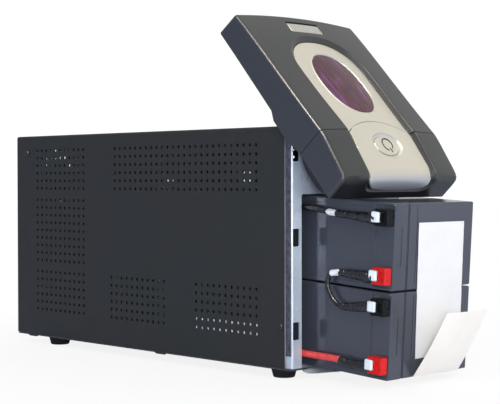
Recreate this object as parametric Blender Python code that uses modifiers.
"""Tower uninterruptible power supply, shown opened for a battery change.

The front bezel is unclipped and hangs by its two hooks on the front of the
case, leaning back over the top edge.  The two-battery pack is drawn out of
its bay and rocks a few degrees nose down over the sill of the bay.

Metres, +Z up.  The front faces -Y, so left is -X.  The origin is the bottom
centre of the whole object's box.  Case coordinates run from the cover's left
side (x), front edge (y) and bottom edge (z).  A box is given by its x, y and
z spans.
"""
import math

import bmesh
import bpy
from mathutils import Euler, Matrix, Vector

# --------------------------------------------------------------------------
# Driving dimensions
# --------------------------------------------------------------------------
CASE_W = 0.1325          # width of the sheet steel cover
CASE_D = 0.354           # depth of the cover
CASE_H = 0.186           # height of the cover
SHEET = 0.0012           # sheet steel thickness
GAP = 0.0003             # clearance between neighbouring pieces
PAST = 0.01              # how far a cutter runs past the faces it opens
FOOT_H = 0.009           # bottom edge of the cover above the ground
FRONT_TO_CENTRE = 0.12045            # from the cover's front edge to the origin

CASE_LEFT = -CASE_W / 2
CASE_FRONT = -FRONT_TO_CENTRE
CASE_BOTTOM = FOOT_H

PLATE_FWD = 0.0060       # front plate stands this far ahead of the cover
PLATE_INSET = SHEET + GAP            # front plate and rear panel inside the cover
PLATE_TOP = CASE_H - PLATE_INSET
SLOT_X = 0.0061          # slot centre from each side of the cover

BATT_L, BATT_H, BATT_W = 0.151, 0.065, 0.097   # depth, height, width
BATT_GAP = 0.001
PACK_X = 0.021           # left (terminal) face of the pack
PACK_OUT = 0.0831        # how far the pack is drawn out of the bay
PACK_TILT = math.radians(3.4)
SILL_Z = 0.00183         # underside of the pack where it crosses the sill

BEZEL_W = 0.1396
BEZEL_LEAN = math.radians(41.5)      # long axis back from the vertical
HOOK_Y, HOOK_Z = -0.0054, 0.1731     # hook axis, in case coordinates

SIDES = (("left", -1), ("right", 1))

# --------------------------------------------------------------------------
# Scene and materials
# --------------------------------------------------------------------------
for old_object in list(bpy.data.objects):
    bpy.data.objects.remove(old_object, do_unlink=True)

PARTS = bpy.data.collections.new("uninterruptible_power_supply")
CUTTERS = bpy.data.collections.new("cutters")
bpy.context.scene.collection.children.link(PARTS)
bpy.context.scene.collection.children.link(CUTTERS)


def make_material(name, colour, roughness, metallic=0.0):
    result = bpy.data.materials.new(name)
    result.use_nodes = True
    inputs = result.node_tree.nodes["Principled BSDF"].inputs
    inputs["Base Color"].default_value = (*colour, 1.0)
    inputs["Roughness"].default_value = roughness
    inputs["Metallic"].default_value = metallic
    return result


# Case
COVER_PAINT = make_material("cover_paint", colour=(0.040, 0.042, 0.042), roughness=0.55)
ZINC = make_material("zinc_plate", colour=(0.55, 0.60, 0.66), roughness=0.35, metallic=0.9)
PAN_PAINT = make_material("pan_paint", colour=(0.05, 0.05, 0.055), roughness=0.5)
RUBBER = make_material("foot_rubber", colour=(0.02, 0.02, 0.02), roughness=0.8)
# Electronics
CORE_STEEL = make_material("core_steel", colour=(0.16, 0.16, 0.17), roughness=0.5, metallic=0.8)
COIL_TAPE = make_material("coil_tape", colour=(0.75, 0.62, 0.20), roughness=0.5)
PCB_GREEN = make_material("pcb_green", colour=(0.03, 0.16, 0.06), roughness=0.5)
ALUMINIUM = make_material("heatsink_aluminium", colour=(0.70, 0.71, 0.73), roughness=0.4,
                          metallic=1.0)
CAP_SLEEVE = make_material("capacitor_sleeve", colour=(0.05, 0.07, 0.20), roughness=0.4)
RELAY_CASE = make_material("relay_case", colour=(0.03, 0.06, 0.22), roughness=0.4)
BLACK_PLASTIC = make_material("black_plastic", colour=(0.018, 0.018, 0.02), roughness=0.45)
SCREW_STEEL = make_material("screw_steel", colour=(0.10, 0.10, 0.10), roughness=0.4,
                            metallic=0.8)
# Bezel
BEZEL_PLASTIC = make_material("bezel_plastic", colour=(0.065, 0.068, 0.075), roughness=0.45)
SILVER = make_material("silver_trim", colour=(0.60, 0.57, 0.50), roughness=0.35, metallic=0.3)
WINDOW = make_material("window_purple", colour=(0.10, 0.03, 0.07), roughness=0.12)
BADGE = make_material("badge_silver", colour=(0.60, 0.60, 0.60), roughness=0.3, metallic=0.8)
# Battery pack
BATTERY_ABS = make_material("battery_abs", colour=(0.072, 0.076, 0.098), roughness=0.4)
TERM_BLACK = make_material("terminal_black", colour=(0.012, 0.012, 0.014), roughness=0.4)
TERM_RED = make_material("terminal_red", colour=(0.75, 0.02, 0.01), roughness=0.35)
NYLON = make_material("tab_nylon", colour=(0.85, 0.86, 0.88), roughness=0.4)
CABLE_BLACK = make_material("cable_black", colour=(0.015, 0.015, 0.017), roughness=0.35)
CABLE_RED = make_material("cable_red", colour=(0.80, 0.06, 0.05), roughness=0.4)
TAPE_WHITE = make_material("tape_white", colour=(0.88, 0.90, 0.92), roughness=0.5)
TAB_WHITE = make_material("tab_paper", colour=(0.86, 0.83, 0.78), roughness=0.6)
FILM = make_material("slide_film", colour=(0.55, 0.60, 0.68), roughness=0.15)


# --------------------------------------------------------------------------
# Positions and spans
# --------------------------------------------------------------------------
def in_case(x, y, z):
    """Case coordinates to world coordinates."""
    return Vector((CASE_LEFT + x, CASE_FRONT + y, CASE_BOTTOM + z))


def around(centre, half):
    return centre - half, centre + half


def across(inset):
    """Span over the cover's width, inset equally from both sides."""
    return inset, CASE_W - inset


def from_side(side, inset):
    """Case x at an inset from the left (-1) or right (1) side of the cover."""
    return inset if side < 0 else CASE_W - inset


def side_span(side, outer, inner):
    return sorted((from_side(side, outer), from_side(side, inner)))


def shifted(span, distance):
    return distance + span[0], distance + span[1]


# --------------------------------------------------------------------------
# Solids; one made without a material is a hidden boolean helper
# --------------------------------------------------------------------------
AXIS_TURN = {'Z': Matrix.Identity(3),
             'X': Matrix.Rotation(math.pi / 2, 3, 'Y'),
             'Y': Matrix.Rotation(math.pi / 2, 3, 'X')}


def place(item, material, parent=None):
    if material is None:
        CUTTERS.objects.link(item)
        item.display_type = 'WIRE'
        item.hide_render = True
    else:
        PARTS.objects.link(item)
        item.data.materials.append(material)
    if parent is not None:
        item.parent = parent
    return item


def finish(shape, name, material=None, parent=None, smooth=False):
    """Turn a bmesh into a placed object."""
    bmesh.ops.recalc_face_normals(shape, faces=shape.faces)
    mesh = bpy.data.meshes.new(name)
    shape.to_mesh(mesh)
    shape.free()
    if smooth:
        mesh.shade_smooth()
        mesh.set_sharp_from_angle(angle=math.radians(35))
    return place(bpy.data.objects.new(name, mesh), material, parent)


def box_shape(x, y, z):
    low, high = (Vector(corner) for corner in zip(x, y, z))
    size = high - low
    middle = (high + low) / 2
    shape = bmesh.new()
    bmesh.ops.create_cube(shape, size=1.0)
    for vertex in shape.verts:
        unit = vertex.co
        vertex.co = Vector((unit.x * size.x, unit.y * size.y, unit.z * size.z)) + middle
    return shape


def add_bevel(item, width, segments=1):
    bevel = item.modifiers.new("edge", 'BEVEL')
    bevel.width = width
    bevel.segments = segments
    bevel.limit_method = 'ANGLE'
    bevel.angle_limit = math.radians(40)


def box(name, x, y, z, material=None, parent=None, bevel=0.0, segments=1):
    result = finish(box_shape(x, y, z), name, material, parent)
    if bevel:
        add_bevel(result, bevel, segments)
    return result


def case_box(name, x, y, z, *args, **options):
    """Box whose spans are in case coordinates."""
    return box(name, shifted(x, CASE_LEFT), shifted(y, CASE_FRONT), shifted(z, CASE_BOTTOM),
               *args, **options)


def cylinder(name, centre, axis, length, radius, material=None, high_radius=None,
             segments=24, parent=None):
    """Cylinder, or a cone that has high_radius at its high end along the axis."""
    ends = [radius, radius if high_radius is None else high_radius]
    if axis == 'Y':      # the turn to Y puts the first end high
        ends.reverse()
    shape = bmesh.new()
    bmesh.ops.create_cone(shape, cap_ends=True, segments=segments,
                          radius1=ends[0], radius2=ends[1], depth=length)
    for vertex in shape.verts:
        vertex.co = AXIS_TURN[axis] @ vertex.co + Vector(centre)
    return finish(shape, name, material, parent, smooth=material is not None)


def case_cylinder(name, centre, *args, **options):
    """Cylinder whose centre is in case coordinates."""
    return cylinder(name, in_case(*centre), *args, **options)


def boolean(item, helper, operation):
    modifier = item.modifiers.new(operation.lower() + "_" + helper.name, 'BOOLEAN')
    modifier.operation = operation
    modifier.object = helper
    modifier.solver = 'EXACT'


def cut(item, helper):
    boolean(item, helper, 'DIFFERENCE')


def join(item, helper):
    boolean(item, helper, 'UNION')


def keep(item, helper):
    boolean(item, helper, 'INTERSECT')


def outline_prism(name, outline, axis, low, high, material=None, parent=None):
    """A filled 2D outline extruded along an axis, as a mesh.

    The outline holds (x, z) for axis 'Y' and (y, z) for axis 'X'.
    """
    curve = bpy.data.curves.new(name + "_outline", 'CURVE')
    curve.dimensions = '2D'
    curve.fill_mode = 'BOTH'
    spline = curve.splines.new('POLY')
    spline.points.add(len(outline) - 1)
    for point, (across_value, up_value) in zip(spline.points, outline):
        point.co = (across_value, up_value, 0.0, 1.0)
    spline.use_cyclic_u = True
    curve.extrude = (high - low) / 2
    source = bpy.data.objects.new(name + "_curve", curve)
    PARTS.objects.link(source)
    middle = (low + high) / 2
    if axis == 'Y':
        source.matrix_world = Matrix(((1, 0, 0, 0), (0, 0, -1, middle),
                                      (0, 1, 0, 0), (0, 0, 0, 1)))
    else:
        source.matrix_world = Matrix(((0, 0, 1, middle), (1, 0, 0, 0),
                                      (0, 1, 0, 0), (0, 0, 0, 1)))
    bpy.context.view_layer.update()
    depsgraph = bpy.context.evaluated_depsgraph_get()
    mesh = bpy.data.meshes.new_from_object(source.evaluated_get(depsgraph))
    mesh.transform(source.matrix_world)
    shape = bmesh.new()
    shape.from_mesh(mesh)
    # the curve's caps and sides do not share vertices
    bmesh.ops.remove_doubles(shape, verts=shape.verts, dist=0.000005)
    bpy.data.objects.remove(source, do_unlink=True)
    bpy.data.meshes.remove(mesh)
    return finish(shape, name, material, parent)


def add_empty(name, location, turn_x=0.0, parent=None):
    result = bpy.data.objects.new(name, None)
    result.empty_display_size = 0.02
    result.location = location
    result.rotation_euler = Euler((turn_x, 0, 0))
    PARTS.objects.link(result)
    result.parent = parent
    return result


def squared(value, exponent):
    """Sine or cosine reshaped for a superellipse of the given exponent."""
    return math.copysign(abs(value) ** (2 / exponent), value)


def superellipse(centre_z, half_width, half_height, exponent, count):
    angles = [2 * math.pi * i / count for i in range(count)]
    return [(half_width * squared(math.cos(angle), exponent),
             centre_z + half_height * squared(math.sin(angle), exponent))
            for angle in angles]


# --------------------------------------------------------------------------
# Case: cover, base pan, front plate, bay, feet, screws
# --------------------------------------------------------------------------
PAN_SIDE_Y, PAN_SIDE_TOP = (0.012, 0.336), 0.012

OPENING_X = (0.0122, 0.1203)         # battery opening
OPENING_TOP = 0.1337
SLOT_W, SLOT_H = 0.0061, 0.0136
SLOT_LOWEST_Z, SLOT_PITCH = 0.0288, 0.0717

BAY_INSET = 0.0031                   # bay sheets, from each side of the cover
BAY_STOP_Y = 0.156
SHELF_Z, SHELF_FRONT = 0.1390, -0.0044
SHELF_LIP_Z = (0.1285, 0.1395)
STOP_FOOT_D = 0.010
STOP_HOLE_X, STOP_HOLE_Z, STOP_HOLE_R = 0.012, 0.095, 0.006
GUIDE_Y, GUIDE_H = (0.0130, 0.1250), 0.0345
GUIDE_TOE_INSET = {"left": 0.0125, "right": 0.0110}

FOOT_X = 0.0140
FOOT_Y = {"front": 0.0170, "rear": 0.3060}
FOOT_TOP = -GAP - SHEET - GAP
FOOT_R_LOW, FOOT_R_HIGH = 0.0070, 0.0090

SCREW_YZ = {"front": (0.0055, 0.0314), "rear": (0.338, 0.170)}
SCREW_OUT, SCREW_T = 0.00065, 0.0007           # head centre off the cover, head thickness
SCREW_R_INNER, SCREW_R_OUTER = 0.0026, 0.0018


def build_cover():
    """One sheet bent over the top and down both sides; front, back and bottom open."""
    cover = case_box("outer_cover", (0, CASE_W), (0, CASE_D), (0, CASE_H), COVER_PAINT,
                     bevel=0.0012, segments=2)
    cut(cover, case_box("cut_cover", across(SHEET), (-PAST, CASE_D + PAST),
                        (-PAST, CASE_H - SHEET)))


def build_base_pan():
    """Floor under the cover's edges, with upturned sides inside the cover."""
    pan = case_box("base_pan", across(0.0004), (-PLATE_FWD, CASE_D - 0.0005),
                   (-GAP - SHEET, -GAP), PAN_PAINT)
    for name, side in SIDES:
        join(pan, case_box("join_pan_" + name,
                           side_span(side, PLATE_INSET, PLATE_INSET + SHEET),
                           PAN_SIDE_Y, (-0.0008, PAN_SIDE_TOP)))


def build_front_plate():
    """Plate with side and top returns tucked into the cover, opening and slots."""
    front = case_box("front_plate", across(PLATE_INSET), (-PLATE_FWD, 0.010),
                     (0.0, PLATE_TOP), ZINC)
    cut(front, case_box("cut_front_in", across(PLATE_INSET + SHEET),
                        (-PLATE_FWD + SHEET, 0.02), (-PAST, PLATE_TOP - SHEET)))
    cut(front, case_box("cut_front_open", OPENING_X, (-0.02, 0.0), (-PAST, OPENING_TOP)))
    for k in range(3):
        slot_z = SLOT_LOWEST_Z + k * SLOT_PITCH
        for name, side in SIDES:
            cut(front, case_box("cut_slot_%s_%d" % (name, k),
                                around(from_side(side, SLOT_X), SLOT_W / 2),
                                (-0.012, 0.0), around(slot_z, SLOT_H / 2)))


def build_bay_shelf():
    """Shelf over the battery bay, with a lip across its rear edge."""
    shelf = case_box("bay_shelf", across(BAY_INSET), (SHELF_FRONT, BAY_STOP_Y + SHEET),
                     (SHELF_Z, SHELF_Z + SHEET), ZINC)
    join(shelf, case_box("join_shelf_lip", across(BAY_INSET),
                         (BAY_STOP_Y, BAY_STOP_Y + SHEET), SHELF_LIP_Z))


def build_bay_stop():
    """Upright sheet behind the bay, with a foot and a round hole."""
    stop_front = BAY_STOP_Y - GAP - SHEET
    stop = case_box("bay_stop", across(BAY_INSET), (stop_front, BAY_STOP_Y - GAP),
                    (0.0, SHELF_Z - GAP), ZINC)
    join(stop, case_box("join_stop_foot", across(BAY_INSET),
                        (stop_front, BAY_STOP_Y + STOP_FOOT_D), (0.0, SHEET)))
    cut(stop, case_cylinder("cut_stop_grommet", (STOP_HOLE_X, BAY_STOP_Y, STOP_HOLE_Z), 'Y',
                            0.02, STOP_HOLE_R, segments=20))


def build_bay_guides():
    """Angles on the floor that keep the pack off the cover's sides."""
    for name, side in SIDES:
        guide = case_box("bay_guide_" + name, side_span(side, BAY_INSET, BAY_INSET + SHEET),
                         GUIDE_Y, (0.0, GUIDE_H), ZINC)
        join(guide, case_box("join_guide_toe_" + name,
                             side_span(side, BAY_INSET, GUIDE_TOE_INSET[name]),
                             GUIDE_Y, (0.0, SHEET)))


def build_feet():
    """Moulded rubber feet, narrower at the ground."""
    length = FOOT_H + FOOT_TOP
    for end, y in FOOT_Y.items():
        for name, side in SIDES:
            foot = case_cylinder("foot_%s_%s" % (end, name),
                                 (from_side(side, FOOT_X), y, FOOT_TOP - length / 2), 'Z',
                                 length, FOOT_R_LOW, RUBBER, high_radius=FOOT_R_HIGH)
            add_bevel(foot, 0.0006)


def build_cover_screws():
    """One near each lower front and upper rear corner of the cover's sides."""
    for name, side in SIDES:
        radii = (SCREW_R_OUTER, SCREW_R_INNER)[::-side]
        for end, (y, z) in SCREW_YZ.items():
            case_cylinder("cover_screw_%s_%s" % (name, end),
                          (from_side(side, 0.0) + side * SCREW_OUT, y, z), 'X', SCREW_T,
                          radii[0], SCREW_STEEL, high_radius=radii[1], segments=16)


# --------------------------------------------------------------------------
# Rear panel and what is mounted in it
# --------------------------------------------------------------------------
REAR_OUT = CASE_D - SHEET            # outer face of the panel
REAR_IN = REAR_OUT - SHEET

FAN_X, FAN_Z = 0.040, 0.148
FAN_Y = (REAR_IN - GAP - 0.015, REAR_IN - GAP)
FAN_HALF = 0.030
FAN_OPENING_R = 0.0275
FAN_DUCT_R = 0.0282
FAN_MOTOR_R = 0.0120
FAN_MOUNT_T = 0.0016
FAN_ARM_REACH, FAN_ARM_HALF_W = 0.0288, 0.0015
ROTOR_T = 0.0110
BLADE_COUNT = 7
BLADE_PITCH = math.radians(52)
GUARD_WIRE_R = 0.0009
GUARD_INNER_RINGS = (0.0195, 0.0115)
GUARD_BAR_REACH = 0.0277

INLET_X, INLET_Z, INLET_HALF_W, INLET_HALF_H = 0.036, 0.030, 0.0140, 0.0110
# Recess of the inlet: (x, z) from its centre.
INLET_RECESS = [(-0.0120, -0.0080), (0.0120, -0.0080), (0.0120, 0.0030), (0.0075, 0.0080),
                (-0.0075, 0.0080), (-0.0120, 0.0030)]
INLET_PINS = ((-0.0070, -0.0020), (0.0070, -0.0020), (0.0, 0.0020))

PORT_X, PORT_Z, PORT_HALF_W, PORT_HALF_H = 0.036, 0.062, 0.0080, 0.0070

BREAKER_X, BREAKER_Z, BREAKER_R = 0.036, 0.088, 0.0060
BREAKER_FRONT = 0.334
COLLAR_R, COLLAR_T = 0.0085, 0.0020

STRIP_X, STRIP_HALF_W = 0.096, 0.0150
STRIP_Z0, STRIP_Z1 = 0.018, 0.150
SOCKET_COUNT = 4
SOCKET_PITCH = (STRIP_Z1 - STRIP_Z0) / SOCKET_COUNT
SOCKET_HOLES = ((-0.0070, -0.0020), (0.0070, -0.0020), (0.0, 0.0030))


def build_rear_panel():
    """Panel with returns into the cover and a clearance hole for each fitting."""
    rear = case_box("rear_panel", across(PLATE_INSET), (0.340, REAR_OUT), (0.0, PLATE_TOP),
                    PAN_PAINT)
    cut(rear, case_box("cut_rear_in", across(PLATE_INSET + SHEET), (0.33, REAR_IN),
                       (-PAST, PLATE_TOP - SHEET)))
    cut_y = (0.345, 0.36)
    round_y, round_length = 0.352, 0.01
    cut(rear, case_cylinder("cut_rear_fan", (FAN_X, round_y, FAN_Z), 'Y', round_length,
                            FAN_OPENING_R, segments=32))
    cut(rear, case_box("cut_rear_inlet", around(INLET_X, INLET_HALF_W + GAP), cut_y,
                       around(INLET_Z, INLET_HALF_H + GAP)))
    cut(rear, case_box("cut_rear_port", around(PORT_X, PORT_HALF_W + GAP), cut_y,
                       around(PORT_Z, PORT_HALF_H + GAP)))
    cut(rear, case_cylinder("cut_rear_breaker", (BREAKER_X, round_y, BREAKER_Z), 'Y',
                            round_length, BREAKER_R + GAP))
    cut(rear, case_box("cut_rear_strip", around(STRIP_X, STRIP_HALF_W + GAP), cut_y,
                       (STRIP_Z0 - GAP, STRIP_Z1 + GAP)))


def build_fan_frame():
    """Square frame with a round duct and a motor mount on crossed arms at the front."""
    front, back = FAN_Y
    fan = case_box("fan_frame", around(FAN_X, FAN_HALF), FAN_Y, around(FAN_Z, FAN_HALF),
                   BLACK_PLASTIC, bevel=0.002)
    cut(fan, case_cylinder("cut_fan_duct", (FAN_X, (front + back) / 2, FAN_Z), 'Y',
                           0.03, FAN_DUCT_R, segments=40))
    join(fan, case_cylinder("join_fan_motor", (FAN_X, front + FAN_MOUNT_T / 2, FAN_Z), 'Y',
                            FAN_MOUNT_T, FAN_MOTOR_R))
    join(fan, case_box("join_fan_arm_x", around(FAN_X, FAN_ARM_REACH),
                       (front + 0.0002, front + 0.0014), around(FAN_Z, FAN_ARM_HALF_W)))
    join(fan, case_box("join_fan_arm_z", around(FAN_X, FAN_ARM_HALF_W),
                       (front + 0.0003, front + 0.0013), around(FAN_Z, FAN_ARM_REACH)))


def build_fan_rotor():
    """Hub with pitched blades, about its own axis."""
    axis = add_empty("fan_axis", in_case(FAN_X, FAN_Y[0] + 0.008, FAN_Z))
    rotor = cylinder("fan_rotor", (0, 0, 0), 'Y', ROTOR_T, FAN_MOTOR_R, BLACK_PLASTIC,
                     parent=axis)
    pitch = Matrix.Rotation(BLADE_PITCH, 3, 'X')
    for k in range(BLADE_COUNT):
        blade = box_shape((0.0100, 0.0266), (-0.0006, 0.0006), (-0.0070, 0.0070))
        turn = Matrix.Rotation(2 * math.pi * k / BLADE_COUNT, 3, 'Y')
        for vertex in blade.verts:
            vertex.co = turn @ (pitch @ vertex.co)
        join(rotor, finish(blade, "join_blade_%d" % k, parent=axis))


def guard_ring(name, radius, y, material=None):
    """Wire ring about the fan's centre, with its origin there."""
    bpy.ops.mesh.primitive_torus_add(major_radius=radius, minor_radius=GUARD_WIRE_R,
                                     major_segments=32, minor_segments=6,
                                     location=in_case(FAN_X, y, FAN_Z),
                                     rotation=(math.pi / 2, 0, 0))
    ring = bpy.context.active_object
    ring.name = name
    ring.data.name = name
    for collection in list(ring.users_collection):
        collection.objects.unlink(ring)
    return place(ring, material)


def build_fan_guard():
    """Three wire rings joined by a cross, behind the rear panel."""
    guard_y = REAR_OUT + GAP + GUARD_WIRE_R
    guard = guard_ring("fan_guard", FAN_OPENING_R, guard_y, ZINC)
    join(guard, case_box("join_guard_x", around(FAN_X, GUARD_BAR_REACH),
                         around(guard_y, 0.0007), around(FAN_Z, 0.0007)))
    join(guard, case_box("join_guard_z", around(FAN_X, 0.0008),
                         around(guard_y, 0.0008), around(FAN_Z, GUARD_BAR_REACH)))
    for k, radius in enumerate(GUARD_INNER_RINGS):
        join(guard, guard_ring("join_guard_ring_%d" % k, radius, guard_y))


def build_power_inlet():
    """Recessed power inlet with three blades."""
    inlet = case_box("power_inlet", around(INLET_X, INLET_HALF_W), (0.330, REAR_OUT + 0.0015),
                     around(INLET_Z, INLET_HALF_H), BLACK_PLASTIC)
    centre = in_case(INLET_X, 0, INLET_Z)
    cut(inlet, outline_prism("cut_inlet",
                             [(centre.x + x, centre.z + z) for x, z in INLET_RECESS], 'Y',
                             in_case(0, REAR_OUT - 0.0150, 0).y,
                             in_case(0, REAR_OUT + PAST, 0).y))
    for k, (x, z) in enumerate(INLET_PINS):
        join(inlet, case_box("join_inlet_pin_%d" % k, around(INLET_X + x, 0.001),
                             (REAR_OUT - 0.0170, REAR_OUT - 0.0030),
                             around(INLET_Z + z, 0.002)))


def build_outlet_strip():
    """One moulding with four sockets of three holes."""
    strip = case_box("outlet_strip", around(STRIP_X, STRIP_HALF_W),
                     (0.336, REAR_OUT + 0.0015), (STRIP_Z0, STRIP_Z1), BLACK_PLASTIC)
    for k in range(SOCKET_COUNT):
        socket_z = STRIP_Z0 + (k + 0.5) * SOCKET_PITCH
        for j, (x, z) in enumerate(SOCKET_HOLES):
            cut(strip, case_box("cut_strip_%d_%d" % (k, j), around(STRIP_X + x, 0.0013),
                                (REAR_OUT - 0.010, REAR_OUT + PAST),
                                around(socket_z + z, 0.0030)))


def build_data_port():
    port = case_box("data_port", around(PORT_X, PORT_HALF_W), (0.336, REAR_OUT + 0.0008),
                    around(PORT_Z, PORT_HALF_H), BLACK_PLASTIC)
    cut(port, case_box("cut_port", around(PORT_X, 0.0060), (REAR_OUT - 0.0120, REAR_OUT + PAST),
                       (PORT_Z - 0.0050, PORT_Z + 0.0045)))


def build_breaker():
    """Circuit breaker with a push-to-reset button."""
    def disc(name, y, length, radius, material=None):
        return case_cylinder(name, (BREAKER_X, y, BREAKER_Z), 'Y', length, radius, material)

    body = disc("breaker_body", (BREAKER_FRONT + REAR_OUT) / 2, REAR_OUT - BREAKER_FRONT,
                BREAKER_R, BLACK_PLASTIC)
    join(body, disc("join_breaker_collar", REAR_OUT + GAP + COLLAR_T / 2, COLLAR_T, COLLAR_R))
    join(body, disc("join_breaker_neck", REAR_OUT, 0.0030, 0.0055))
    cut(body, disc("cut_breaker_bore", REAR_OUT, 0.0160, 0.0040))
    axis = add_empty("breaker_axis", in_case(BREAKER_X, REAR_OUT, BREAKER_Z))
    button = cylinder("breaker_button", (0, 0.0002, 0), 'Y', 0.0100, 0.0036, TERM_RED,
                      parent=axis)
    add_bevel(button, 0.0005)


# --------------------------------------------------------------------------
# Power electronics behind and above the bay
# --------------------------------------------------------------------------
CORE_X, CORE_Y = CASE_W / 2, 0.215   # centre of the transformer
CORE_W, CORE_T, CORE_H = 0.096, 0.046, 0.080
CORE_Z = 0.0045
CORE_LEG = 0.016                     # yokes, outer legs, and half the middle leg
COIL_CLEAR = 0.0005                  # between the coil and the middle leg
BRACKET_HALF_W, BRACKET_HALF_D, BRACKET_TOP, BRACKET_T = 0.0510, 0.008, 0.0865, 0.0015

BOARD_Z = (0.1480, 0.1496)
ON_BOARD_Z = 0.1500                  # underside of the parts on the board
SINK_X, SINK_Y, SINK_TOP = (0.075, 0.119), (0.170, 0.262), 0.1800
CHANNEL_X, CHANNEL_PITCH, CHANNEL_W, CHANNEL_Z = 0.0785, 0.0078, 0.0052, 0.1545
CAP_X, CAP_YS, CAP_H, CAP_R = 0.040, (0.190, 0.222), 0.030, 0.0100
RELAY_GROOVE_X, RELAY_GROOVE_PITCH = 0.0340, 0.0150


def build_transformer():
    """Core with two windows, a coil round the middle leg, and a strap bracket."""
    core_top = CORE_Z + CORE_H
    window_z = (CORE_Z + CORE_LEG, core_top - CORE_LEG)
    window_outer = CORE_W / 2 - CORE_LEG
    core = case_box("transformer_core", around(CORE_X, CORE_W / 2), around(CORE_Y, CORE_T / 2),
                    (CORE_Z, core_top), CORE_STEEL, bevel=0.0008)
    for name, side in SIDES:
        window_x = sorted((CORE_X + side * CORE_LEG, CORE_X + side * window_outer))
        cut(core, case_box("cut_core_" + name, window_x, around(CORE_Y, 0.05), window_z))

    coil = case_box("transformer_coil", around(CORE_X, window_outer - 0.0006),
                    around(CORE_Y, 0.0390), (window_z[0] + 0.001, window_z[1] - 0.001),
                    COIL_TAPE, bevel=0.004, segments=2)
    cut(coil, case_box("cut_coil", around(CORE_X, CORE_LEG + COIL_CLEAR),
                       around(CORE_Y, CORE_T / 2 + COIL_CLEAR), (0.01, 0.08)))

    bracket = case_box("transformer_bracket", around(CORE_X, BRACKET_HALF_W),
                       around(CORE_Y, BRACKET_HALF_D), (0.0, BRACKET_TOP), ZINC)
    cut(bracket, case_box("cut_bracket", around(CORE_X, BRACKET_HALF_W - BRACKET_T),
                          around(CORE_Y, 0.02), (-PAST, BRACKET_TOP - BRACKET_T)))


def build_heatsink():
    sink = case_box("heatsink", SINK_X, SINK_Y, (ON_BOARD_Z, SINK_TOP), ALUMINIUM)
    for k in range(5):
        x = CHANNEL_X + k * CHANNEL_PITCH
        cut(sink, case_box("cut_sink_%d" % k, (x, x + CHANNEL_W), (0.16, 0.27),
                           (CHANNEL_Z, SINK_TOP + PAST)))


def build_main_board():
    """Main board over the bay, with heatsink, capacitors and relay block."""
    case_box("main_pcb", across(0.009), (0.012, 0.322), BOARD_Z, PCB_GREEN)
    build_heatsink()
    for k, y in enumerate(CAP_YS, start=1):
        case_cylinder("capacitor_%d" % k, (CAP_X, y, ON_BOARD_Z + CAP_H / 2), 'Z', CAP_H,
                      CAP_R, CAP_SLEEVE)
    relays = case_box("relay_block", (0.020, 0.064), (0.120, 0.148), (ON_BOARD_Z, 0.1680),
                      RELAY_CASE, bevel=0.0008)
    for k in range(2):
        x = RELAY_GROOVE_X + k * RELAY_GROOVE_PITCH
        cut(relays, case_box("cut_relay_%d" % k, (x, x + 0.001), (0.11, 0.16), (0.1580, 0.17)))


# --------------------------------------------------------------------------
# Bezel, built upright about its hook axis: front -y, long axis z
# --------------------------------------------------------------------------
BEZEL_HALF = BEZEL_W / 2
BEZEL_WALL = 0.0022
BEZEL_CROWN = 0.0025                 # the front is this much higher on its centre line
BEZEL_EDGE_R = 0.0028                # rounding along the long edges of the front
BEZEL_TOP, BEZEL_BOTTOM = 0.1165, -0.0601
BEZEL_REAR = -0.0041                 # rear edge of the side walls
CROWN_STATIONS = 9                   # points across the crown
SEAM_Z, SEAM_HALF = -0.0161, 0.0002  # seam between the shells
CUT_FRONT, CUT_BACK = -0.060, -0.010 # y span of cutters through the front
REACH = 0.2                          # half size of the largest cutters

# Side profile of the front, rear top corner to rear bottom corner (y, z).
PROFILE = [(-0.0250, 0.1165), (-0.0261, 0.1161), (-0.0267, 0.1150), (-0.0270, 0.1120),
           (-0.0281, 0.0780), (-0.0291, 0.0430), (-0.0304, 0.0100), (-0.0315, -0.0120),
           (-0.0317, -0.0161), (-0.0312, -0.0240), (-0.0299, -0.0330), (-0.0281, -0.0455),
           (-0.0272, -0.0505), (-0.0259, -0.0548), (-0.0238, -0.0580), (-0.0205, -0.0594),
           (-0.0160, -0.0598)]
CORNER_POINTS = 3                    # profile points dropped at the top corner when inset

# Hinge ear on each side wall of the upper shell (y, z).
EAR = [(-0.0100, 0.0300), (BEZEL_REAR - 0.0004, 0.0285), (-0.0006, 0.0220),
       (-0.0006, 0.0060), (BEZEL_REAR - 0.0004, -0.0130), (-0.0100, -0.0140)]
# Chamfer along the rear bottom edge of the lower shell (y, z).
REAR_CHAMFER = [(-0.0062, -0.0606), (-0.0034, -0.0578), (-0.0030, -0.0578), (-0.0030, -0.0606)]

RECESS_HALF_W = 0.0418               # recess for the silver trim
RECESS_TOP, RECESS_BOTTOM, RECESS_BACK = 0.0880, -0.066, -0.0200
SHOULDER_H, SHOULDER_EXPONENT = 0.042, 2.35
TRIM_MARGIN = 0.0016                 # trim outline beyond the recess outline
TRIM_INSET, TRIM_T = 0.0030, 0.0018  # below the bezel's front, thickness
ARCH_R, ARCH_Z = 0.060, -0.064       # arch between the two trim pieces
ARCH_GAP = 0.0004

WINDOW_Z, WINDOW_EXPONENT = 0.0388, 2.3
WINDOW_HALF_W, WINDOW_HALF_H = 0.0240, 0.0328
BUTTON_Z, BUTTON_CLEAR = -0.0290, 0.0005
BUTTON_HALF_W, BUTTON_HALF_H = 0.0134, 0.0085
LED_X, LED_PITCH, LED_W = -0.0180, 0.0115, 0.003
BADGE_HALF_W, BADGE_Z, BADGE_CLEAR = 0.0186, (0.0960, 0.1053), 0.0007
HOOK_R, HOOK_HALF_T = 0.0052, 0.0022
HOOK_ARM_FRONT, HOOK_ARM_TOP = -0.0250, -0.0008

BEZEL_AXIS = add_empty("bezel_hook_axis", in_case(CASE_W / 2, HOOK_Y, HOOK_Z), -BEZEL_LEAN)


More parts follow.
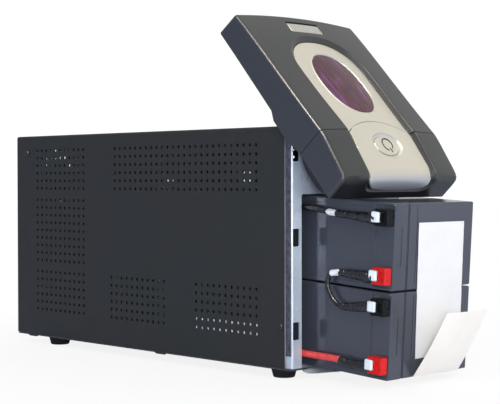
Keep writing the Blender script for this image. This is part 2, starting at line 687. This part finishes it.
def bezel_box(name, x, y, z, material=None):
    return box(name, x, y, z, material, BEZEL_AXIS)


def bezel_prism(name, outline, low=CUT_FRONT, high=CUT_BACK, axis='Y', material=None):
    return outline_prism(name, outline, axis, low, high, material, BEZEL_AXIS)


def inset_profile(inset):
    """The front profile moved inward, as (y, z) points."""
    points = [(BEZEL_REAR, BEZEL_TOP)] + PROFILE + [(BEZEL_REAR, BEZEL_BOTTOM)]
    moved = []
    for before, here, after in zip(points, points[1:], points[2:]):
        step_in = Vector(here) - Vector(before)
        step_out = Vector(after) - Vector(here)
        normal_in = Vector((-step_in.y, step_in.x)).normalized()
        normal_out = Vector((-step_out.y, step_out.x)).normalized()
        mitre = (normal_in + normal_out).normalized()
        distance = inset / max(0.4, mitre.dot(normal_in))
        moved.append(Vector((here[0] + mitre.x * distance, here[1] + mitre.y * distance)))
    # the top corner is tighter than the inset, so inside it is square
    moved = moved[CORNER_POINTS:]
    (y0, z0), (y1, z1) = moved[0], moved[1]
    top = BEZEL_TOP - inset
    if z0 < top - 0.0002:
        moved.insert(0, Vector((y0 + (y1 - y0) * (top - z0) / (z1 - z0), top)))
    kept = [moved[0]]
    for point in moved[1:]:
        if (point - kept[-1]).length > 0.0003:
            kept.append(point)
    return [tuple(point) for point in kept]


def cross_stations(half_width, edge_radius):
    """(x, drop) across the front; drop is how far edge rounding lowers it."""
    crown = [half_width * (2 * i / (CROWN_STATIONS - 1) - 1) for i in range(CROWN_STATIONS)]
    if not edge_radius:
        return [(x, 0.0) for x in crown]
    inner = half_width - edge_radius
    arc = [(inner + edge_radius * math.sin(angle), edge_radius * (1 - math.cos(angle)))
           for angle in (math.radians(30), math.radians(60), math.radians(90))]
    return ([(-x, drop) for x, drop in reversed(arc)]
            + [(x * inner / half_width, 0.0) for x in crown] + arc)


def bezel_solid(name, inset, half_width, back_y, material=None, edge_radius=0.0):
    """Closed body behind the bezel's front surface moved inward by inset."""
    profile = inset_profile(inset) if inset else PROFILE
    stations = cross_stations(half_width, edge_radius)
    top, bottom = BEZEL_TOP - inset, BEZEL_BOTTOM + inset
    shape = bmesh.new()
    rows = []
    for k, (y, z) in enumerate(profile):
        # crown and edge rounding act along the outward normal of the profile
        before = Vector(profile[max(k - 1, 0)])
        after = Vector(profile[min(k + 1, len(profile) - 1)])
        tangent = (after - before).normalized()
        normal = Vector((tangent.y, -tangent.x))
        if normal.x > 0:
            normal = -normal
        row = []
        for x, drop in stations:
            crown = BEZEL_CROWN * (1 - (x / BEZEL_HALF) ** 2) * max(0.0, -normal.x)
            new_z = z + normal.y * (crown - drop)
            row.append(shape.verts.new((x, y + normal.x * (crown - drop),
                                        min(max(new_z, bottom), top))))
        rows.append(row)
    top_row = [shape.verts.new((x, back_y, top)) for x, _ in stations]
    bottom_row = [shape.verts.new((x, back_y, bottom)) for x, _ in stations]
    # the rounded edge ends at the top and bottom planes
    for vertex in rows[0]:
        vertex.co.z = top
    for vertex in rows[-1]:
        if abs(vertex.co.z - bottom) < 0.001:
            vertex.co.z = bottom
    loop = [top_row] + rows + [bottom_row]
    for row, following in zip(loop, loop[1:]):
        for i in range(len(stations) - 1):
            shape.faces.new((row[i], row[i + 1], following[i + 1], following[i]))
    for i in range(len(stations) - 1):
        shape.faces.new((bottom_row[i], bottom_row[i + 1], top_row[i + 1], top_row[i]))
    shape.faces.new([row[0] for row in loop])
    shape.faces.new([row[-1] for row in loop][::-1])
    bmesh.ops.triangulate(shape, faces=[face for face in shape.faces if len(face.verts) > 4])
    return finish(shape, name, material, BEZEL_AXIS)


def layer(name, front_inset, back_inset, material):
    """Thin layer between two insets of the bezel's front surface."""
    result = bezel_solid(name, front_inset, BEZEL_HALF - 0.010, -0.0080, material)
    cut(result, bezel_solid("cut_layer_" + name, back_inset, BEZEL_HALF - 0.004, 0.010))
    return result


def recess_outline(half_width, top, bottom):
    """Round shoulders at the top, straight sides, small bottom corner cuts (x, z)."""
    count = 20
    outline = []
    for i in range(count + 1):
        angle = math.pi * i / count
        outline.append((half_width * squared(math.cos(angle), SHOULDER_EXPONENT),
                        top - SHOULDER_H
                        + SHOULDER_H * squared(math.sin(angle), SHOULDER_EXPONENT)))
    corner_w, corner_h = 0.006, 0.004
    outline += [(-half_width, bottom + corner_h), (-half_width + corner_w, bottom),
                (half_width - corner_w, bottom), (half_width, bottom + corner_h)]
    return outline


def build_upper_shell(hollow, recess):
    shell = bezel_solid("bezel_upper_shell", 0.0, BEZEL_HALF, BEZEL_REAR, BEZEL_PLASTIC,
                        edge_radius=BEZEL_EDGE_R)
    # hinge ears: the side walls reach a little further back at the hooks
    for name, side in SIDES:
        low, high = sorted((side * BEZEL_HALF, side * (BEZEL_HALF - BEZEL_WALL)))
        join(shell, bezel_prism("join_ear_" + name, EAR, low, high, axis='X'))
    cut(shell, hollow)
    cut(shell, recess)
    cut(shell, bezel_box("cut_seam_bezel_upper_shell", (-REACH, REACH), (-REACH, REACH),
                         (-2 * REACH, SEAM_Z + SEAM_HALF)))
    cut(shell, bezel_box("cut_badge_pocket", around(0, BADGE_HALF_W + BADGE_CLEAR),
                         (CUT_FRONT, -0.0285),
                         (BADGE_Z[0] - BADGE_CLEAR, BADGE_Z[1] + BADGE_CLEAR)))


def build_lower_shell(hollow, recess):
    shell = bezel_solid("bezel_lower_shell", 0.0, BEZEL_HALF, BEZEL_REAR, BEZEL_PLASTIC,
                        edge_radius=BEZEL_EDGE_R)
    cut(shell, hollow)
    cut(shell, recess)
    cut(shell, bezel_box("cut_seam_bezel_lower_shell", (-REACH, REACH), (-REACH, REACH),
                         (SEAM_Z - SEAM_HALF, 2 * REACH)))
    # the pack slides past this edge
    cut(shell, bezel_prism("cut_rear_chamfer", REAR_CHAMFER, -0.1, 0.1, axis='X'))


def build_shells():
    hollow = bezel_solid("cut_bezel_in", BEZEL_WALL, BEZEL_HALF - BEZEL_WALL, 0.010)
    recess = bezel_prism("cut_bezel_recess",
                         recess_outline(RECESS_HALF_W, RECESS_TOP, RECESS_BOTTOM),
                         high=RECESS_BACK)
    build_upper_shell(hollow, recess)
    build_lower_shell(hollow, recess)


def arch_cutter(name, radius):
    return cylinder(name, (0, -0.03, ARCH_Z), 'Y', 0.08, radius, segments=96,
                    parent=BEZEL_AXIS)


def build_trim():
    """Silver trim just below the front surface, in two pieces that meet on an arch."""
    outline = recess_outline(RECESS_HALF_W + TRIM_MARGIN, RECESS_TOP + TRIM_MARGIN, -0.064)
    kept = bezel_prism("keep_trim", outline, high=RECESS_BACK - 0.0006)
    window_hole = superellipse(WINDOW_Z, WINDOW_HALF_W, WINDOW_HALF_H, WINDOW_EXPONENT, 40)
    button_hole = superellipse(BUTTON_Z, BUTTON_HALF_W + BUTTON_CLEAR,
                               BUTTON_HALF_H + BUTTON_CLEAR, 2.0, 32)

    upper = layer("trim_upper", TRIM_INSET, TRIM_INSET + TRIM_T, SILVER)
    keep(upper, kept)
    cut(upper, arch_cutter("cut_arch_gap", ARCH_R + ARCH_GAP))
    cut(upper, bezel_box("cut_trim_upper_low", (-REACH, REACH), (-REACH, REACH),
                         (-REACH, -0.0235)))
    cut(upper, bezel_prism("cut_window", window_hole))

    lower = layer("trim_lower", TRIM_INSET, TRIM_INSET + TRIM_T, SILVER)
    keep(lower, kept)
    keep(lower, arch_cutter("cut_arch", ARCH_R))
    cut(lower, bezel_prism("cut_button", button_hole))


def build_display():
    """Window in the upper trim, and the board with four LEDs behind it."""
    window = layer("display_window", TRIM_INSET + 0.0002, TRIM_INSET + 0.0016, WINDOW)
    outline = superellipse(WINDOW_Z, WINDOW_HALF_W - GAP, WINDOW_HALF_H - GAP,
                           WINDOW_EXPONENT, 40)
    keep(window, bezel_prism("keep_window", outline))

    board = bezel_box("display_board", (-0.0250, 0.0250), (-0.0238, -0.0222),
                      (0.0100, 0.0660), PCB_GREEN)
    for k in range(4):
        x = LED_X + LED_PITCH * k
        join(board, bezel_box("join_led_%d" % k, (x, x + LED_W), (-0.0250, -0.0232),
                              (0.0340, 0.0400)))


def build_badge():
    badge = layer("badge_plate", 0.0004, 0.0010, BADGE)
    keep(badge, bezel_box("keep_badge", around(0, BADGE_HALF_W), (CUT_FRONT, CUT_BACK),
                          BADGE_Z))


def build_hooks():
    """Round nose on the hook axis, in the top slot of the front plate.

    The arm runs forward from the nose's lower half, so the nose can turn in
    the slot without touching the plate.
    """
    outline = [(HOOK_ARM_FRONT, -HOOK_R)]
    outline += [(HOOK_R * math.cos(math.radians(degrees)),
                 HOOK_R * math.sin(math.radians(degrees)))
                for degrees in range(-90, 181, 18)]
    outline += [(-HOOK_R, HOOK_ARM_TOP), (HOOK_ARM_FRONT, HOOK_ARM_TOP)]
    for name, side in SIDES:
        low, high = around(side * (CASE_W / 2 - SLOT_X), HOOK_HALF_T)
        bezel_prism("bezel_hook_" + name, outline, low, high, axis='X',
                    material=BLACK_PLASTIC)


def build_power_button():
    """Oval cap that slides into the lower trim."""
    axis = add_empty("power_button_axis", (0, -0.0300, BUTTON_Z), parent=BEZEL_AXIS)
    button = outline_prism("power_button",
                           superellipse(0, BUTTON_HALF_W, BUTTON_HALF_H, 2.0, 32), 'Y',
                           -0.0012, 0.0070, SILVER, axis)
    add_bevel(button, 0.0006)


# --------------------------------------------------------------------------
# Battery pack, built level about the sill.  Pack coordinates run from the
# pack's left face (x), back from its front (y) and up from its underside (z).
# --------------------------------------------------------------------------
PACK_LEFT = CASE_LEFT + PACK_X
PACK_FRONT = -PACK_OUT
LID_W = 0.017            # terminal end of each battery is a separate lid
UPPER_Z = BATT_H + BATT_GAP          # underside of the upper battery
TERM_OFF = 0.0110        # terminal centre from the battery's lower or upper face
TERMINAL_Z = {"lower_positive": TERM_OFF, "lower_negative": BATT_H - TERM_OFF,
              "upper_positive": UPPER_Z + TERM_OFF,
              "upper_negative": 2 * BATT_H + BATT_GAP - TERM_OFF}

LEAD_X = -0.0043         # centre of the leads, left of the pack's face
SLEEVE_R, LEAD_R, WIRE_R = 0.0036, 0.0022, 0.0015
# Leads: (y, height above the terminal's centre, radius).
NEGATIVE_LEAD = [(0.0153, 0.0, 0.0032), (0.0160, 0.0, SLEEVE_R), (0.0400, 0.0, SLEEVE_R),
                 (0.0412, 0.0, 0.0030), (0.0416, 0.0, 0.0026), (0.0520, 0.0005, 0.0026),
                 (0.0600, 0.0010, LEAD_R), (0.0880, 0.0015, LEAD_R), (0.1180, 0.0010, LEAD_R)]
POSITIVE_LEAD = [(0.0153, 0.0, 0.0032), (0.0160, 0.0, SLEEVE_R), (0.0395, 0.0, SLEEVE_R),
                 (0.0405, 0.0, 0.0030), (0.0410, 0.0, 0.0025), (0.0800, -0.0012, 0.0025),
                 (0.1180, -0.0012, 0.0025)]
# Sleeved ends of the jumper, before and after its bend: (y, radius).
JUMPER_UPPER = [(0.0153, 0.0032), (0.0160, SLEEVE_R), (0.0440, SLEEVE_R), (0.0452, 0.0028),
                (0.0456, 0.0024)]
JUMPER_LOWER = [(0.0416, 0.0020), (0.0412, 0.0028), (0.0400, SLEEVE_R), (0.0160, SLEEVE_R),
                (0.0153, 0.0032)]
BEND_Y, BEND_DEPTH, BEND_STEPS = 0.0466, 0.0100, 8

TAB_ANGLE = math.radians(57.5)       # pull tab above the horizontal
TAB_L, TAB_W, TAB_HALF_T = 0.0605, 0.055, 0.0003

SILL_AXIS = add_empty("battery_sill_axis", in_case(CASE_W / 2, 0, SILL_Z), PACK_TILT)


def in_pack(x, y, z):
    """Pack coordinates to the sill frame."""
    return Vector((PACK_LEFT + x, PACK_FRONT + y, z))


def pack_box(name, x, y, z, material, **options):
    return box(name, shifted(x, PACK_LEFT), shifted(y, PACK_FRONT), z, material, SILL_AXIS,
               **options)


def build_slide_sheet():
    """Film under the pack; its lip stands out over the sill."""
    box("slide_sheet", shifted((0.0135, 0.1190), CASE_LEFT), (-0.0205, 0.0640),
        (-0.0009, -0.0004), FILM, SILL_AXIS)


def build_batteries():
    for name, bottom in (("battery_lower", 0.0), ("battery_upper", UPPER_Z)):
        for part, x in (("_case", (LID_W + GAP, BATT_W)), ("_lid", (0, LID_W))):
            pack_box(name + part, x, (0, BATT_L), (bottom, bottom + BATT_H), BATTERY_ABS,
                     bevel=0.0012, segments=2)


def build_terminals():
    """Four terminals on the left face, each with a nylon connector behind it."""
    for name, z in TERMINAL_Z.items():
        pack_box("terminal_" + name, (-0.0066, -GAP), (0.0010, 0.0088), around(z, 0.0062),
                 TERM_RED if "positive" in name else TERM_BLACK, bevel=0.0006)
        pack_box("connector_" + name, (-0.0072, -0.0006), (0.0092, 0.0150),
                 around(z, 0.0037), NYLON, bevel=0.0008)


def lead(name, stations, base_z, material):
    """Round lead along the left face; stations are (y, z above base_z, radius)."""
    curve = bpy.data.curves.new(name, 'CURVE')
    curve.dimensions = '3D'
    curve.bevel_depth = 1.0          # so a point's radius is in metres
    curve.bevel_resolution = 2
    curve.use_fill_caps = True
    spline = curve.splines.new('POLY')
    spline.points.add(len(stations) - 1)
    for point, (y, z, radius) in zip(spline.points, stations):
        point.co = (*in_pack(LEAD_X, y, base_z + z), 1.0)
        point.radius = radius
    result = place(bpy.data.objects.new(name, curve), material, SILL_AXIS)
    weld = result.modifiers.new("caps", 'WELD')
    weld.merge_threshold = 0.00002


def jumper_stations():
    """From the upper positive terminal round a bend to the lower negative one."""
    upper, lower = TERMINAL_Z["upper_positive"], TERMINAL_Z["lower_negative"]
    middle, half_height = (upper + lower) / 2, (upper - lower) / 2
    bend = []
    for k in range(BEND_STEPS + 1):
        angle = math.pi / 2 - math.pi * k / BEND_STEPS
        bend.append((BEND_Y + BEND_DEPTH * math.cos(angle),
                     middle + half_height * math.sin(angle), WIRE_R))
    return ([(y, upper, radius) for y, radius in JUMPER_UPPER] + bend
            + [(y, lower, radius) for y, radius in JUMPER_LOWER])


def build_leads():
    lead("negative_lead", NEGATIVE_LEAD, TERMINAL_Z["upper_negative"], CABLE_BLACK)
    lead("positive_lead", POSITIVE_LEAD, TERMINAL_Z["lower_positive"], CABLE_RED)
    lead("jumper_lead", jumper_stations(), 0.0, CABLE_BLACK)


def build_tape_and_tab():
    """Tape across both battery fronts, and the pull tab from their lower edge."""
    pack_box("joining_tape", (0.0290, 0.0850), (-0.0009, -GAP), (0.0140, 0.1160), TAPE_WHITE)
    axis = add_empty("pull_tab_axis", in_pack(0.0565, -0.0016, 0.0006), parent=SILL_AXIS)
    tab = box_shape(around(0, TAB_W / 2), (-TAB_L, 0.0), around(0, TAB_HALF_T))
    # the tab's angle is from the world horizontal, and its frame is tipped nose down
    turn = Matrix.Rotation(-(TAB_ANGLE + PACK_TILT), 3, 'X')
    for vertex in tab.verts:
        vertex.co = turn @ vertex.co
    finish(tab, "pull_tab", TAB_WHITE, axis)


# --------------------------------------------------------------------------
# Build
# --------------------------------------------------------------------------
for build in (
        build_cover, build_base_pan, build_front_plate, build_rear_panel,
        build_bay_shelf, build_bay_stop, build_bay_guides, build_feet, build_cover_screws,
        build_transformer, build_main_board,
        build_fan_frame, build_fan_rotor, build_fan_guard,
        build_power_inlet, build_outlet_strip, build_data_port, build_breaker,
        build_shells, build_trim, build_display, build_badge, build_hooks,
        build_power_button,
        build_slide_sheet, build_batteries, build_terminals, build_leads,
        build_tape_and_tab):
    build()
